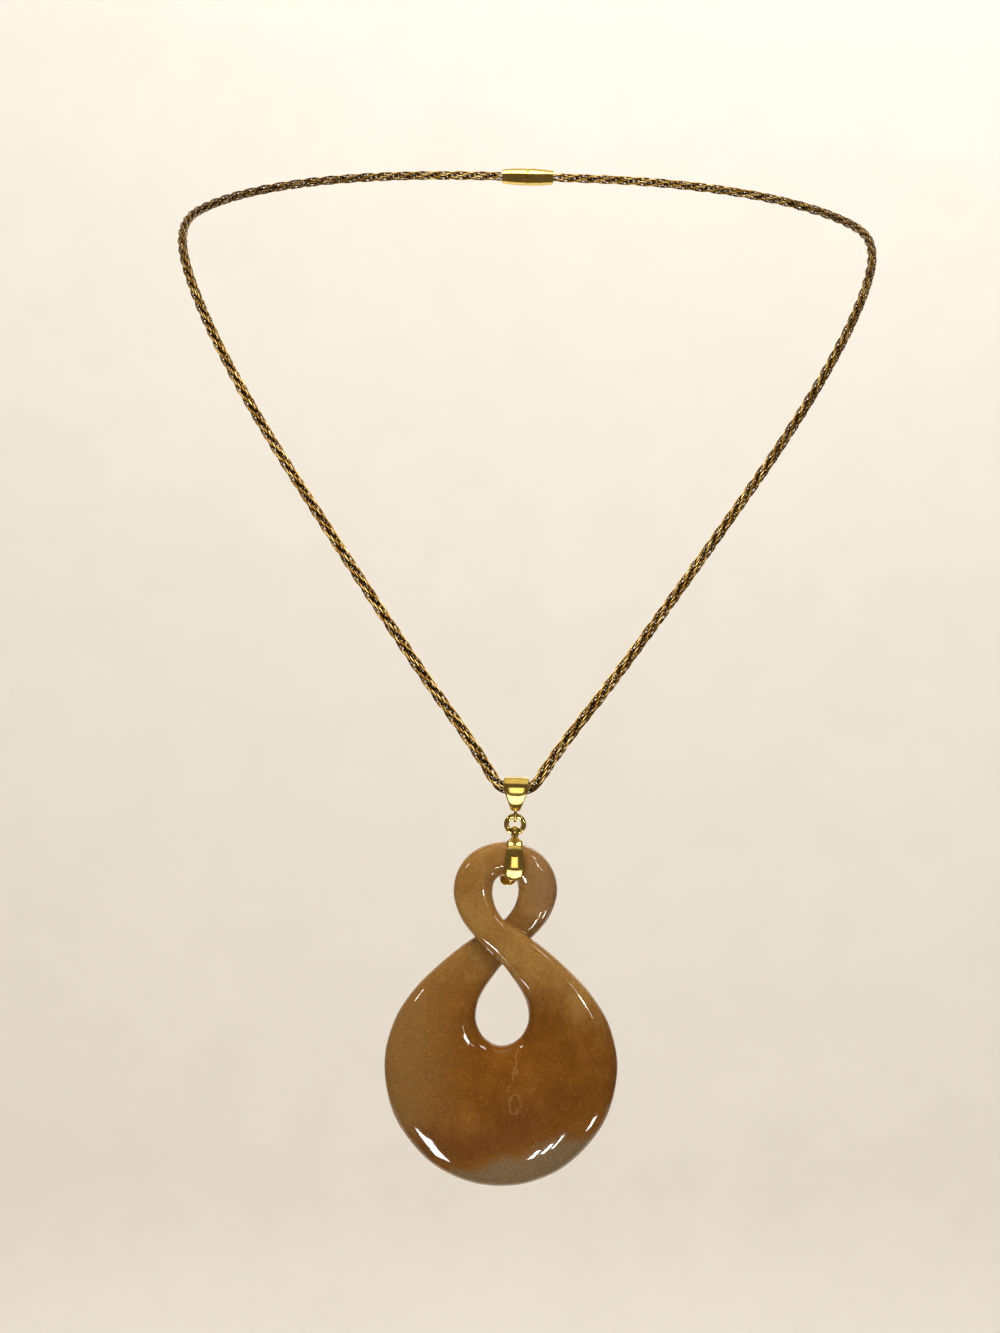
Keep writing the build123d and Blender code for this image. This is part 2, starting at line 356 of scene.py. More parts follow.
# %% Turn the rings, tone them and coat them
TONE_SEED = 7
number = add_node(link_tree, "GeometryNodeInputIndex")
angle = add_node(
    link_tree, "ShaderNodeMath", {"operation": "MULTIPLY"},
    {0: number.outputs[0], 1: inputs["Turn"]},
)
about_line = add_node(link_tree, "ShaderNodeCombineXYZ", links={"Z": angle.outputs[0]})
turned = add_node(
    link_tree, "GeometryNodeRotateInstances", {"Local Space": True},
    {"Instances": hung.outputs[0], "Rotation": about_line.outputs[0]},
)
chance = add_node(link_tree, "FunctionNodeRandomValue", {"data_type": "FLOAT", "Seed": TONE_SEED})
toned = add_node(
    link_tree, "GeometryNodeStoreNamedAttribute",
    {"data_type": "FLOAT", "domain": "INSTANCE", "Name": "link_tone"},
    {"Geometry": turned.outputs[0], "Value": chance.outputs[1]},
)
real = add_node(link_tree, "GeometryNodeRealizeInstances", links={"Geometry": toned.outputs[0]})
smooth = add_node(link_tree, "GeometryNodeSetShadeSmooth", links={"Geometry": real.outputs[0]})
coated = add_node(
    link_tree, "GeometryNodeSetMaterial",
    links={"Geometry": smooth.outputs[0], "Material": inputs["Metal"]},
)
add_node(link_tree, "NodeGroupOutput", links={"Geometry": coated.outputs[0]})
print("tree of", len(link_tree.nodes), "nodes")

# %% [markdown]
# The tree runs on the line itself. Its inputs are set by their identifiers, and then the result is
# taken as a plain mesh, so that nothing live is left on the piece.

# %% Turn the line into links
link_modifier = chain_line.modifiers.new("links", "NODES")
link_modifier.node_group = link_tree
for item in link_tree.interface.items_tree:
    if item.in_out == "INPUT" and item.name in link_sizes:
        link_modifier[item.identifier] = link_sizes[item.name]
link_modifier[material_socket.identifier] = gold_links
bpy.context.view_layer.update()
evaluated = chain_line.evaluated_get(bpy.context.evaluated_depsgraph_get())
link_mesh = bpy.data.meshes.new_from_object(evaluated)
chain_line.modifiers.remove(link_modifier)
bpy.data.objects.remove(chain_line)
rope_links = bpy.data.objects.new("rope_links", link_mesh)
bpy.context.scene.collection.objects.link(rope_links)
link_mesh.calc_loop_triangles()
link_count = len(link_mesh.polygons) // (RING_SIDES * WIRE_SIDES)
print("links", link_count, "triangles", len(link_mesh.loop_triangles))
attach(rope_links, "necklace")
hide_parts("rope_chain")


# %% [markdown]
# ## Skins over rings of points
# The stone and the metal pieces are all skins over a row of rings of points. One function lays the
# faces between them, and joins the last ring to the first or closes both ends. Its normals are
# turned outwards, whichever way the rings ran.

# %% Define the skin
def skin(name, rings, closed=False):
    """A mesh object in metres over an array of rings of points in millimetres."""
    rings = np.asarray(rings, float)
    count, around, _ = rings.shape
    verts = (rings * MM).reshape(-1, 3)
    faces = []
    for i in range(count if closed else count - 1):
        here, after = i * around, (i + 1) % count * around
        for j in range(around):
            beside = (j + 1) % around
            faces.append((here + j, here + beside, after + beside, after + j))
    if not closed:
        faces.append(tuple(range(around))[::-1])
        faces.append(tuple((count - 1) * around + j for j in range(around)))
    mesh = bpy.data.meshes.new(name)
    mesh.from_pydata(verts.tolist(), [], faces)
    mesh.update()
    thing = bpy.data.objects.new(name, mesh)
    bpy.context.scene.collection.objects.link(thing)
    work = bmesh.new()
    work.from_mesh(mesh)
    bmesh.ops.recalc_face_normals(work, faces=work.faces)
    work.to_mesh(mesh)
    work.free()
    return thing


print("skin ready")

# %% [markdown]
# A cast or soldered piece is one body, and its parts run into each other softly. Two functions do
# the same: one puts several meshes into one, and the other melts their shells into one skin with a
# voxel remesh and eases its creases. The voxel is the finest detail that is left.


# %% Define how shells are joined and melted
def join(name, things):
    """One object from several, with their faces in one mesh."""
    work = bmesh.new()
    for thing in things:
        work.from_mesh(thing.data)
        bpy.data.objects.remove(thing)
    mesh = bpy.data.meshes.new(name)
    work.to_mesh(mesh)
    work.free()
    joined = bpy.data.objects.new(name, mesh)
    bpy.context.scene.collection.objects.link(joined)
    return joined


def melt(thing, voxel_mm, rounds):
    """Melts the shells of a mesh into one smooth skin, with some rounds of easing."""
    remesh = thing.modifiers.new("melt", "REMESH")
    remesh.mode = "VOXEL"
    remesh.voxel_size = voxel_mm * MM
    ease = thing.modifiers.new("ease", "SMOOTH")
    ease.factor = 0.5
    ease.iterations = rounds
    bpy.context.view_layer.update()
    evaluated = thing.evaluated_get(bpy.context.evaluated_depsgraph_get())
    mesh = bpy.data.meshes.new_from_object(evaluated)
    thing.modifiers.clear()
    thing.data = mesh
    for face in mesh.polygons:
        face.use_smooth = True
    mesh.calc_loop_triangles()
    print(thing.name, "triangles", len(mesh.loop_triangles))


print("join and melt ready")

# %% [markdown]
# ## The stone
# The figure-eight is a ribbon of stone that leaves the big lobe, crosses in front of itself and
# comes back down behind. It could be cut from a block with booleans, but its strands change width,
# depth and squareness all the way, which a table of sections says more plainly. Each row is a
# section of the front strand: its two edges as shares of the stone's width and height, its
# thickness and how far it stands forward. The last column is how square the section is: the lobe
# is lens-shaped, and the strands have flat faces with tight, rounded edges.

# %% Lay the stone's sections
STONE_WIDTH = 35.2
STONE_HEIGHT = 52.0
STONE_BOTTOM = -174.22
STONE_BESIDE = 1.2
LOBE_DEPTH = 6.6
STRAND_DEPTH = 3.7
LOOP_DEPTH = 4.5
STRAND_OFFSET = 1.6
# across a, up a, across b, up b, thickness from lobe 0 over strand 1 to loop 2, lift, squareness
strand_rows = np.array([
    (0.000, 0.000, 0.000, 0.408, 0.00, 0.00, 2.3),
    (0.160, 0.018, 0.028, 0.411, 0.00, 0.00, 2.3),
    (0.315, 0.078, 0.058, 0.421, 0.00, 0.00, 2.3),
    (0.450, 0.195, 0.090, 0.443, 0.00, 0.05, 2.3),
    (0.500, 0.340, 0.112, 0.482, 0.05, 0.20, 2.4),
    (0.466, 0.465, 0.105, 0.530, 0.20, 0.42, 2.6),
    (0.384, 0.560, 0.078, 0.570, 0.45, 0.65, 2.8),
    (0.270, 0.640, 0.044, 0.604, 0.75, 0.88, 3.0),
    (0.168, 0.698, 0.004, 0.640, 0.95, 1.00, 3.2),
    (0.088, 0.734, -0.046, 0.678, 1.00, 1.00, 3.2),
    (0.014, 0.764, -0.118, 0.719, 1.05, 0.95, 3.1),
    (-0.033, 0.802, -0.188, 0.778, 1.25, 0.75, 2.9),
    (-0.054, 0.845, -0.222, 0.848, 1.55, 0.50, 2.6),
    (-0.050, 0.880, -0.203, 0.918, 1.80, 0.25, 2.4),
    (-0.030, 0.896, -0.130, 0.974, 1.95, 0.08, 2.3),
    (0.000, 0.900, 0.000, 1.000, 2.00, 0.00, 2.3),
])
print("rows", len(strand_rows))


# %% [markdown]
# Smooth curves through the rows give the sections between them. Each one becomes a ring of points
# whose sines and cosines are raised to a power, which makes an ellipse squarer. The strand behind
# is the one in front, turned half round about the stone's own upright axis.

# %% Turn the sections into rings
SECTIONS_PER_ROW = 10
POINTS_ROUND = 72


def smooth_rows(rows, per_row):
    """The rows with further ones between them, on smooth curves through four at a time."""
    turned = rows * np.array([-1, 1, -1, 1, 1, -1, 1])
    padded = np.vstack([turned[1], rows, turned[-2]])
    made = []
    for before, start, end, after in zip(padded, padded[1:], padded[2:], padded[3:]):
        for step in range(per_row):
            t = step / per_row
            bend = 2 * before - 5 * start + 4 * end - after
            twist = 3 * start - before - 3 * end + after
            made.append(start + ((end - before) * t + bend * t**2 + twist * t**3) / 2)
    return np.array(made + [rows[-1]])


def rounded(turn, power):
    """The two coordinates of a rounded rectangle of half width 1 and half height 1."""
    across, deep = np.cos(turn), np.sin(turn)
    shape = 2 / power
    return np.sign(across) * np.abs(across) ** shape, np.sign(deep) * np.abs(deep) ** shape


def section_ring(row):
    """A section as a ring of points, fuller at its shoulders than an ellipse."""
    across_a, up_a, across_b, up_b, thick, lift, square = row
    edge_a = np.array([across_a * STONE_WIDTH, 0.0, up_a * STONE_HEIGHT])
    edge_b = np.array([across_b * STONE_WIDTH, 0.0, up_b * STONE_HEIGHT])
    depth = np.interp(thick, [0, 1, 2], [LOBE_DEPTH, STRAND_DEPTH, LOOP_DEPTH])
    foot = np.array([-STONE_BESIDE, PENDANT_Y - lift * STRAND_OFFSET, STONE_BOTTOM])
    out, deep = rounded(np.linspace(0, 2 * pi, POINTS_ROUND, endpoint=False), square)
    half = (edge_b - edge_a) / 2
    middle = (edge_a + edge_b) / 2 + foot
    return middle + out[:, None] * half + deep[:, None] * np.array([0.0, depth / 2, 0.0])


front_rings = np.array([section_ring(row) for row in smooth_rows(strand_rows, SECTIONS_PER_ROW)])
half_turn = np.array([-1, -1, 1])
shift = np.array([-2 * STONE_BESIDE, 2 * PENDANT_Y, 0.0])
back_rings = (front_rings * half_turn + shift)[::-1]
back_rings = np.roll(back_rings[:, ::-1], 1, axis=1)
stone_rings = np.vstack([front_rings[:-1], back_rings[:-1]])
print("sections", len(stone_rings))

# %% [markdown]
# The skin passes through itself where the strands cross, so it is melted into one at a fifth of a
# millimetre and eased a little, which leaves the crossing the crisp step that a carver cuts.

# %% Make the stone
STONE_VOXEL = 0.20
STONE_ROUNDS = 8
stone = skin("figure_eight_stone", stone_rings, closed=True)
melt(stone, STONE_VOXEL, STONE_ROUNDS)
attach(stone, "drop")
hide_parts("stone")

# %% [markdown]
# ## Aventurine
# Aventurine is quartz with fine flakes in it, cut and polished to a high gloss, so the eye sees a
# soft depth under a hard shine. This one is honey in the loops and brown in the lobe. The
# coordinates are turned into millimetres first, so that every number below is a size or a height on
# the stone. Soft clouds six millimetres across give both grounds their drift, and they also sway
# every border by a few millimetres, which keeps the borders from looking drawn.

# %% Set up the stone's coordinates and its two grounds
CLOUD_SIZE = 6.0
CLOUD_SWAY = 9.0
SOFT = {"interpolation_type": "SMOOTHSTEP"}
aventurine, tree, shader, place = new_material("honey_aventurine_polished")
in_mm = add_node(
    tree, "ShaderNodeVectorMath", {"operation": "SCALE", "Scale": 1 / MM}, {0: place}
).outputs[0]
axes = add_node(tree, "ShaderNodeSeparateXYZ", links={0: in_mm}).outputs
clouds = add_node(
    tree, "ShaderNodeTexNoise",
    {"Scale": 1 / CLOUD_SIZE, "Detail": 5.0, "Roughness": 0.6, "Distortion": 0.5},
    {"Vector": in_mm},
).outputs["Fac"]
sway = add_node(
    tree, "ShaderNodeMath",
    {"operation": "MULTIPLY_ADD", 1: CLOUD_SWAY, 2: -CLOUD_SWAY / 2}, {0: clouds},
).outputs[0]
spot = add_node(
    tree, "ShaderNodeCombineXYZ", links={"X": axes["X"], "Y": axes["Z"], "Z": sway}
).outputs[0]
brown = add_node(
    tree, "ShaderNodeValToRGB",
    {"stops": [(0.30, "#754811"), (0.50, "#825217"), (0.70, "#905F25")]}, {"Fac": clouds},
).outputs["Color"]
honey = add_node(
    tree, "ShaderNodeValToRGB", {"stops": [(0.32, "#926833"), (0.68, "#A78146")]}, {"Fac": clouds}
).outputs["Color"]
print("grounds ready")

# %% [markdown]
# The honey is laid over the brown from the neck of the lobe up. Then come four patches: an olive
# cast down the left side, a rust band low on the lobe, a paler rim below it, which is partly the
# stone's own tone and partly a painted sheen, and a greyer one where the strand behind comes up on
# the right, which is a painted reflection. They could be painted on the skin, but a rule on the
# coordinates runs through the stone as its real bands do, and has no seam. A border is a slanted
# line: the weights say how much the sideways place, the height and the sway count, and the two
# values say where the patch starts and where it is full.

# %% List the patches of colour
ACROSS = (1.0, 0.0, 0.0)
UPWARD = (0.0, 1.0, 0.0)
ALONG_BAND = (-0.30, 1.0, 1.0)
# colour, how much it covers, borders as (weights of across, up and sway; starts at; full at)
patches = [
    (honey, 1.0, [((0.25, 1.0, 1.0), -150.0, -138.5)]),
    ("#8C6B3C", 0.75, [((1.0, 0.0, 1.0), -5.0, -16.0)]),
    ("#6E411A", 0.70, [
        (ALONG_BAND, -169.1, -165.8), (ALONG_BAND, -158.8, -164.8), (ACROSS, 13.0, 1.0),
    ]),
    # paler rim: partly the stone's own tone, partly a painted sheen
    ("#8A775A", 0.85, [(ALONG_BAND, -167.5, -170.8)]),
    # greyer patch on the right of the loop: a painted reflection
    ("#A07C58", 0.60, [(ACROSS, 0.5, 4.5), (UPWARD, -138.0, -131.0)]),
]
print("patches", len(patches))

# %% [markdown]
# Each patch lies where all of its borders let it, so their shares are multiplied into one cover,
# and its colour is mixed over all that came before.

# %% Lay the patches over each other
colour = brown
for tint, most, borders in patches:
    cover = None
    for weights, start, full in borders:
        slant = add_node(
            tree, "ShaderNodeVectorMath", {"operation": "DOT_PRODUCT", 1: weights}, {0: spot}
        )
        share = add_node(
            tree, "ShaderNodeMapRange", {**SOFT, "From Min": start, "From Max": full},
            {"Value": slant.outputs["Value"]},
        )
        if cover is None:
            share.inputs["To Max"].default_value = most
        else:
            share = add_node(
                tree, "ShaderNodeMath", {"operation": "MULTIPLY"},
                {0: cover.outputs[0], 1: share.outputs[0]},
            )
        cover = share
    laid = add_node(
        tree, "ShaderNodeMix", {"data_type": "RGBA"}, {0: cover.outputs[0], 6: colour}
    )
    if isinstance(tint, str):
        laid.inputs[7].default_value = linear(tint)
    else:
        tree.links.new(tint, laid.inputs[7])
    colour = laid.outputs[2]
print("patches laid", len(patches))

# %% [markdown]
# A healed crack wanders down from the hole and ends in a small oval. A line on the stone is where a
# sum of coordinates has one value, so the crack is a slanted sum, bent by a noise, and the oval is
# a distance from its middle with the height squeezed.

# %% Draw the lines of the crack and of its oval
CRACK_WANDER = 1.8
OVAL_MIDDLE = (1.0, -161.2)
OVAL_SQUEEZE = 0.72
bent = add_node(
    tree, "ShaderNodeTexNoise", {"Scale": 1 / CRACK_WANDER, "Detail": 3.0}, {"Vector": in_mm}
).outputs["Fac"]
bent_spot = add_node(
    tree, "ShaderNodeCombineXYZ", links={"X": axes["X"], "Y": axes["Z"], "Z": bent}
)
along_crack = add_node(
    tree, "ShaderNodeVectorMath", {"operation": "DOT_PRODUCT", 1: (1.0, -0.28, 2.4)},
    {0: bent_spot.outputs[0]},
)
squeezed = add_node(
    tree, "ShaderNodeVectorMath", {"operation": "MULTIPLY", 1: (1.0, 0.0, OVAL_SQUEEZE)},
    {0: in_mm},
)
from_oval = add_node(
    tree, "ShaderNodeVectorMath",
    {"operation": "DISTANCE", 1: (OVAL_MIDDLE[0], 0.0, OVAL_MIDDLE[1] * OVAL_SQUEEZE)},
    {0: squeezed.outputs[0]},
)
round_oval = add_node(
    tree, "ShaderNodeMath", {"operation": "MULTIPLY_ADD", 1: 1.8},
    {0: bent, 2: from_oval.outputs["Value"]},
)
print("lines bent by", bent.node.name)

# %% [markdown]
# The colour is full close to a line and fades out beside it. Two heights end the crack, and both
# lines are thin and covered by two fifths, as a healed crack only shows as a paler thread.

# %% Heal the crack
healed = []
# a sum, its value on the line, and how far off the line the colour ends and is full
for line, value, ends, full in (
    (along_crack.outputs["Value"], 45.9, 0.20, 0.05),
    (round_oval.outputs[0], 1.75, 0.24, 0.06),
):
    off = add_node(tree, "ShaderNodeMath", {"operation": "SUBTRACT", 1: value}, {0: line})
    off = add_node(tree, "ShaderNodeMath", {"operation": "ABSOLUTE"}, {0: off.outputs[0]})
    healed.append(add_node(
        tree, "ShaderNodeMapRange", {**SOFT, "From Min": ends, "From Max": full},
        {"Value": off.outputs[0]},
    ))
crack, oval = healed
# the crack's two ends, as heights
for start, full in ((-160.0, -159.0), (-152.0, -154.0)):
    within = add_node(
        tree, "ShaderNodeMapRange", {**SOFT, "From Min": start, "From Max": full},
        {"Value": axes["Z"]},
    )
    crack = add_node(
        tree, "ShaderNodeMath", {"operation": "MULTIPLY"},
        {0: crack.outputs[0], 1: within.outputs[0]},
    )
either = add_node(
    tree, "ShaderNodeMath", {"operation": "MAXIMUM"}, {0: crack.outputs[0], 1: oval.outputs[0]}
)
faint = add_node(tree, "ShaderNodeMath", {"operation": "MULTIPLY", 1: 0.4}, {0: either.outputs[0]})
colour = add_node(
    tree, "ShaderNodeMix", {"data_type": "RGBA", 7: linear("#A47C50")},
    {0: faint.outputs[0], 6: colour},
).outputs[2]
print("crack healed")

# %% [markdown]
# A speckle and a few small pale flakes give the stone its grain. The real flakes are about a tenth
# of a millimetre, too fine to show, so they are drawn some three times as coarse and far fainter.
# The flakes are real, but their pale colour is a painted glint, in place of their sparkle.

# %% Add the speckle and the flakes
SPECKLE_SIZE = 0.45
FLAKE_CELL = 0.9
speckle = add_node(
    tree, "ShaderNodeTexNoise", {"Scale": 1 / SPECKLE_SIZE, "Detail": 3.0, "Roughness": 0.7},
    {"Vector": in_mm},
)
grain = add_node(
    tree, "ShaderNodeValToRGB", {"stops": [(0.35, "#E2DDD4"), (0.65, "#FFFFFF")]},
    {"Fac": speckle.outputs["Fac"]},
)
colour = add_node(
    tree, "ShaderNodeMix", {"data_type": "RGBA", "blend_type": "MULTIPLY", 0: 1.0},
    {6: colour, 7: grain.outputs["Color"]},
).outputs[2]
flakes = add_node(tree, "ShaderNodeTexVoronoi", {"Scale": 1 / FLAKE_CELL}, {"Vector": in_mm})
flake_and_glint_cover = add_node(
    tree, "ShaderNodeMapRange", {**SOFT, "From Min": 0.16, "From Max": 0.08, "To Max": 0.25},
    {"Value": flakes.outputs["Distance"]},
)
# the flakes' pale colour is a painted glint
colour = add_node(
    tree, "ShaderNodeMix", {"data_type": "RGBA", 7: linear("#C09A60")},
    {0: flake_and_glint_cover.outputs[0], 6: colour},
).outputs[2]
print("grain added")

# %% [markdown]
# Quartz has an index of refraction of 1.55. It lets light in for a millimetre or two, red further
# than blue, so thin edges glow, and its polish is nearly a mirror.

# %% Finish the stone's shader
tree.links.new(colour, shader.inputs["Base Color"])
shader.inputs["Subsurface Weight"].default_value = 0.45
shader.inputs["Subsurface Radius"].default_value = (1.0, 0.5, 0.22)
shader.inputs["Subsurface Scale"].default_value = 1.6 * MM
shader.inputs["Roughness"].default_value = 0.05
shader.inputs["IOR"].default_value = 1.55
stone.data.materials.clear()
stone.data.materials.append(aventurine)
print("made", aventurine.name)


# %% [markdown]
# ## The metal pieces
# The bails are bent from soft strip and polished until no edge is sharp. Each one is skinned over
# sections and then melted with its eye or its curl, as solder and polish do. They are drawn from
# the side, out from the middle plane and up, as arcs through three places.

# %% Define the arcs and the loops
WIRE_TURNS = 96
WIRE_ROUND = 20


def arc(start, middle, end, count):
    """Points on the arc from start over middle to end, in a plane."""
    (ax, ay), (bx, by), (cx, cy) = start, middle, end
    d = 2 * (ax * (by - cy) + bx * (cy - ay) + cx * (ay - by))
    a2, b2, c2 = ax**2 + ay**2, bx**2 + by**2, cx**2 + cy**2
    ux = (a2 * (by - cy) + b2 * (cy - ay) + c2 * (ay - by)) / d
    uy = (a2 * (cx - bx) + b2 * (ax - cx) + c2 * (bx - ax)) / d
    radius = sqrt((ax - ux) ** 2 + (ay - uy) ** 2)
    first, through, last = (atan2(q - uy, p - ux) for p, q in (start, middle, end))
    sweep_through = (through - first) % (2 * pi)
    sweep_last = (last - first) % (2 * pi)
    if sweep_through > sweep_last:
        sweep_last -= 2 * pi
    angles = first + np.linspace(0, sweep_last, count)
    return np.stack([ux + radius * np.cos(angles), uy + radius * np.sin(angles)], axis=1)


def loop(name, centre, radius, thick, wide, facing, gap=0.0):
    """A ring of wire with an oval section. Facing is the axis that it turns about."""
    turn = np.linspace(gap, 2 * pi - gap, WIRE_TURNS, endpoint=gap > 0)
    section = np.linspace(0, 2 * pi, WIRE_ROUND, endpoint=False)
    out = radius + thick / 2 * np.cos(section)
    side = wide / 2 * np.sin(section)
    rings = []
    for angle in turn:
        if facing == "X":
            ring = np.stack([side, out * sin(angle), out * cos(angle)], axis=1)
        else:
            ring = np.stack([out * sin(angle), side, out * cos(angle)], axis=1)
        rings.append(ring + np.array(centre))
    return skin(name, rings, closed=gap == 0.0)


print("arcs and loops ready")

# %% [markdown]
# ## The taper bail
# One strip runs from the front tip up, over the chain and down to the back tip. It is widest over
# the chain and tapers to the tips. A modifier could bend a flat sheet round, but the strip's width
# and fold change together, so its line is laid first and then skinned. The line is the strip's
# outer face, and the metal lies inside it.

# %% Lay the line of the taper bail
BAIL_Z = -114.5
BAIL_OUTER = 2.06
BAIL_DEPTH = 3.44
BAIL_FOOT = -3.22
BAIL_STRIP = 0.38
front_fold = arc(
    (-BAIL_STRIP, -BAIL_DEPTH), (-0.80 * BAIL_OUTER, -0.50 * BAIL_DEPTH), (-BAIL_OUTER, 0.0), 26
)
over_fold = arc((-BAIL_OUTER, 0.0), (0.0, BAIL_OUTER), (BAIL_OUTER, 0.0), 40)
outline = np.vstack([front_fold[:-1], over_fold, (front_fold * [-1, 1])[::-1][1:]])
outline = outline[outline[:, 1] > BAIL_FOOT]
along = np.gradient(outline, axis=0)
along /= np.linalg.norm(along, axis=1)[:, None]
outward = np.stack([-along[:, 1], along[:, 0]], axis=1)
print("line of", len(outline), "points")

# %% [markdown]
# The strip is crowned across, so each leaf mirrors the room in bowed bands. Its eye, at the foot,
# holds the jump ring, and is melted on as solder would hold it.

# %% Make the taper bail
BAIL_UP = [-3.3, -3.0, -2.6, -1.0, 0.0, 0.8]
BAIL_HALF_WIDTH = [0.62, 0.80, 0.92, 1.48, 1.86, 1.92]
BAIL_CROWN = 0.04
BAIL_SQUARENESS = 3.0
BAIL_VOXEL = 0.06
METAL_ROUNDS = 3
EYE_Z = -118.34
EYE_RADIUS = 0.92
EYE_WIRE = 0.32
EYE_WIDTH = 0.5
across, deep = rounded(np.linspace(0, 2 * pi, 40, endpoint=False), BAIL_SQUARENESS)
strip_rings = []
for (out_y, up), (normal_y, normal_z) in zip(outline, outward):
    half_width = np.interp(up, BAIL_UP, BAIL_HALF_WIDTH)
    depth = BAIL_STRIP / 2 * (deep - 1) - BAIL_CROWN * across**2
    strip_rings.append(np.stack([
        across * half_width,
        PENDANT_Y + out_y + normal_y * depth,
        BAIL_Z + up + normal_z * depth,
    ], axis=1))
bail_leaf = skin("bail_leaf", strip_rings)
bail_eye = loop("bail_eye", (0.0, PENDANT_Y, EYE_Z), EYE_RADIUS, EYE_WIRE, EYE_WIDTH, "X")
taper_bail = join("taper_bail_polished", [bail_leaf, bail_eye])
melt(taper_bail, BAIL_VOXEL, METAL_ROUNDS)
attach(taper_bail, "bail")
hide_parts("taper_bail")

# %% [markdown]
# ## The jump ring
# A stout ring of round wire, bent shut until only a hairline is left where its ends meet. A torus
# would have no ends, so it is skinned over its turn with a small gap, and its two ends stay flat.

# %% Make the jump ring
RING_Z = -119.64
RING_RADIUS = 1.3
RING_WIRE = 0.8
RING_GAP = 0.012
ring_centre = (0.0, PENDANT_Y, RING_Z)
jump_ring = loop(
    "jump_ring_polished", ring_centre, RING_RADIUS, RING_WIRE, RING_WIRE, "Y", gap=RING_GAP
)
for face in jump_ring.data.polygons:
    face.use_smooth = len(face.vertices) == 4
print("ring of", len(jump_ring.data.polygons), "faces")
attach(jump_ring, "ring")
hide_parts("jump_ring")

# %% [markdown]
# ## The pinch bail
# Two domed leaves hang from a curl and grip the stone's small loop, which is a band 5.2 mm high at
# its top. Seen from the side, a leaf fills the space between two lines: an inner one, which clears
# the stone, and an outer one, which bows out and comes in again at the tip.

# %% Lay the arcs of the leaves
CURL_Z = -120.94
STONE_TOP = -122.22
LOOP_BAND = 5.2
LOOP_MIDDLE = STONE_TOP - LOOP_BAND / 2
LOOP_OUTER = 1.08
GRIP = 2.44
LEAF_SIDE = 2.94
LEAF_SIDE_UP = -0.9
LEAF_TIP = 2.25
INNER_TIP = 1.9
TIP_DEPTH = 3.1
CROWN_UP = 2.79
FOOT_UP = CURL_Z - 0.60 * LOOP_OUTER - LOOP_MIDDLE
outer_arc = arc(
    (0.70 * LOOP_OUTER, FOOT_UP), (LEAF_SIDE, LEAF_SIDE_UP), (LEAF_TIP, -TIP_DEPTH), 50
)[::-1]
low_arc = arc((INNER_TIP, -TIP_DEPTH), (0.98 * GRIP, -0.60 * TIP_DEPTH), (GRIP, 0.0), 30)
high_arc = arc((GRIP, 0.0), (0.75 * GRIP, 0.70 * CROWN_UP), (0.0, CROWN_UP), 30)
inner_arc = np.vstack([low_arc, high_arc[1:], [(-0.1, CROWN_UP + 0.02), (-0.1, FOOT_UP + 0.1)]])
print("arcs of", len(outer_arc), "and", len(inner_arc), "points")


# %% [markdown]
# Each level of a leaf is a flat-backed, domed section between the two lines. The levels are closest
# at the tip, where the outline turns fast. The leaf behind sits a little askew, as pinched leaves
# do, and its tip shows in the hole of the loop.

# %% Define a leaf
LEAF_UP = [-3.10, -3.04, -2.85, -2.55, -2.0, -1.24, 0.6, 1.5, 2.0, 2.5, 3.3]
LEAF_HALF_WIDTH = [0.20, 0.62, 1.02, 1.28, 1.48, 1.55, 1.40, 1.22, 1.00, 0.62, 0.50]
LEAF_EDGE = 0.20
LEAF_SQUARENESS = 2.1
TIP_LEVELS = np.linspace(-TIP_DEPTH, -2.4, 16)
LEAF_LEVELS = np.linspace(-2.3, FOOT_UP, 44)
ASKEW_ASIDE = 0.95
ASKEW_DOWN = 1.1


def leaf(name, side):
    """One leaf from its tip to the foot of the curl. Side is -1 in front and 1 behind."""
    across, deep = rounded(np.linspace(0, 2 * pi, 44, endpoint=False), LEAF_SQUARENESS)
    dome = LEAF_EDGE + (1 - LEAF_EDGE) * np.abs(deep)
    flat_back = LEAF_EDGE * (1 - np.abs(deep))
    share = np.where(deep > 0, dome, flat_back)
    rings = []
    for up in np.concatenate([TIP_LEVELS, LEAF_LEVELS]):
        half = np.interp(up, LEAF_UP, LEAF_HALF_WIDTH)
        inner = np.interp(up, inner_arc[:, 1], inner_arc[:, 0])
        outer = np.interp(up, outer_arc[:, 1], outer_arc[:, 0])
        askew = max(side, 0) * min(max(-up / TIP_DEPTH, 0.0), 1.0)
        rings.append(np.stack([
            across * half - ASKEW_ASIDE * askew,
            PENDANT_Y + side * (inner + (outer - inner) * share),
            np.full(len(across), LOOP_MIDDLE + up - ASKEW_DOWN * askew),
        ], axis=1))
    return skin(name, rings)


print("leaf ready")


# %% [markdown]
# The neck above the leaves is cast as two arms. They swell into two flat-fronted shoulders on the
# leaf's top, which catch the light as a pair of bright knobs, and then cross in an X on the way up
# to the curl. One function makes both, because the hand mirrors every sideways number. The five
# lists below say where an arm runs and how thick it is at shares of its length.

# %% Define an arm of the neck
ARM_FOOT = -123.12
ARM_LENGTH = 3.02
ARM_SIDE_STATIONS = [0.0, 0.15, 0.32, 0.62, 1.0]
ARM_SIDE = [0.68, 0.66, 0.60, 0.0, -0.50]
ARM_STATIONS = [0.0, 0.10, 0.32, 0.38, 0.46, 0.62, 1.0]
ARM_OUT = [1.60, 1.68, 1.92, 1.84, 1.36, 1.10, 0.72]
ARM_RADIUS = [0.30, 0.54, 0.55, 0.40, 0.27, 0.22, 0.18]
ARM_SQUARENESS = 3.0
ARM_FLATTENED = 0.5
ARM_SLANT = 0.3


